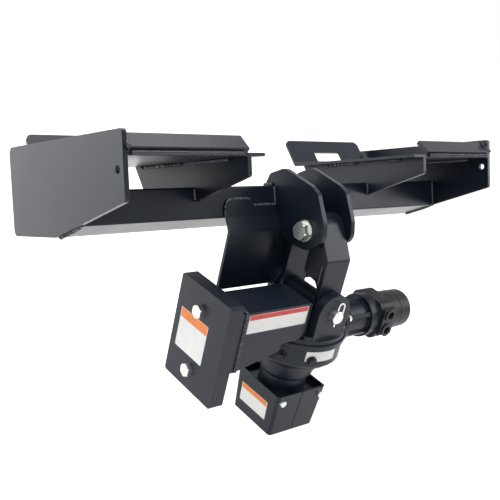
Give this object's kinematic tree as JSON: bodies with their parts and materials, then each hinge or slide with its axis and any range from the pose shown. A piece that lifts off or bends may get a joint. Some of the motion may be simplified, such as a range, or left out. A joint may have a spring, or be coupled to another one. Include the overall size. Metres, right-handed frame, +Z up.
{
  "type": "earth auger drive",
  "caption": "Hydraulic earth auger drive: right-angle gearbox with side motor and balance weight, hung from a two-way yoke on a skid-steer coupler frame with a cradle stop.",
  "frame": {"origin": "middle of the coupler seat, on the face that lies against the carrier's quick-attach plate, halfway between the front and back edges", "axes": "+X along the frame's width towards the motor, +Z up with the drive head hanging plumb, -Y towards the frame's front edge with the hook bars; the seat is tilted 22.5 degrees about X"},
  "size_m": [1.143, 0.5757, 0.7461],
  "materials": {
    "black_powder_coat": "gloss powder coat",
    "black_cast_enamel": "gloss enamel on cast iron",
    "black_motor_enamel": "satin enamel on cast iron",
    "zinc_plate": "bright zinc plate",
    "machined_steel": "turned steel",
    "bronze": "plain bronze",
    "seal_rubber": "matte nitrile"
  },
  "bodies": {
    "hitch_frame": {"crossbeam": "black_powder_coat", "cradle_plate": "black_powder_coat", "end_plate_left": "black_powder_coat", "end_plate_right": "black_powder_coat", "coupler_plate_left": "black_powder_coat", "coupler_plate_right": "black_powder_coat", "hook_bar_left": "black_powder_coat", "hook_bar_right": "black_powder_coat", "inner_gusset_left": "black_powder_coat", "inner_gusset_right": "black_powder_coat", "ear_left": "black_powder_coat", "ear_right": "black_powder_coat", "pivot_bolt": "zinc_plate", "pivot_washers": "zinc_plate", "pivot_nut": "zinc_plate"},
    "swing_yoke": {"yoke_strap": "black_powder_coat", "pivot_tube": "black_powder_coat", "pivot_bushes": "bronze", "thrust_washers": "machined_steel", "yoke_gusset_left": "black_powder_coat", "yoke_gusset_right": "black_powder_coat", "grease_nipple": "zinc_plate"},
    "drive_head": {"gearbox_housing": "black_cast_enamel", "gearbox_cover": "black_cast_enamel", "cover_bolts": "zinc_plate", "case_plugs": "black_cast_enamel", "lower_pin": "zinc_plate", "pin_clip": "zinc_plate", "input_adapter": "black_cast_enamel", "adapter_bolts": "zinc_plate", "motor_port_housing": "black_motor_enamel", "motor_port_collars": "black_motor_enamel", "motor_gerotor": "black_motor_enamel", "motor_end_cap": "black_motor_enamel", "motor_bolts": "zinc_plate", "counterweight_arm": "black_powder_coat", "counterweight_plate_outer": "black_powder_coat", "counterweight_plate_middle": "black_powder_coat", "counterweight_plate_inner": "black_powder_coat", "counterweight_bolts": "zinc_plate", "counterweight_nut": "zinc_plate", "guard_half_left": "black_powder_coat", "guard_half_right": "black_powder_coat", "guard_bolts": "zinc_plate", "output_bearing": "machined_steel", "oil_seal": "seal_rubber", "input_bearings": "machined_steel"},
    "output": {"output_shaft": "machined_steel", "crown_gear": "machined_steel"},
    "input": {"pinion_shaft": "machined_steel"}
  },
  "joints": [
    {"name": "yoke_swing", "type": "hinge", "parent": "hitch_frame", "child": "swing_yoke", "pos_m": [0, -0.21141, -0.09752], "axis": [-1, 0, 0], "range_deg": [0, 100]},
    {"name": "side_swing", "type": "hinge", "parent": "swing_yoke", "child": "drive_head", "pos_m": [0, -0.21141, -0.26952], "axis": [0, 1, 0], "range_deg": [-25, 25]},
    {"name": "output_spin", "type": "hinge", "parent": "drive_head", "child": "output", "pos_m": [0, -0.21141, -0.50552], "axis": [0, 0, 1], "continuous": true},
    {"name": "input_spin", "type": "hinge", "parent": "drive_head", "child": "input", "pos_m": [0.16, -0.21141, -0.35952], "axis": [1, 0, 0], "continuous": true}
  ],
  "couplings": [
    {"joint": "input_spin", "follows": "output_spin", "ratio": 3}
  ]
}
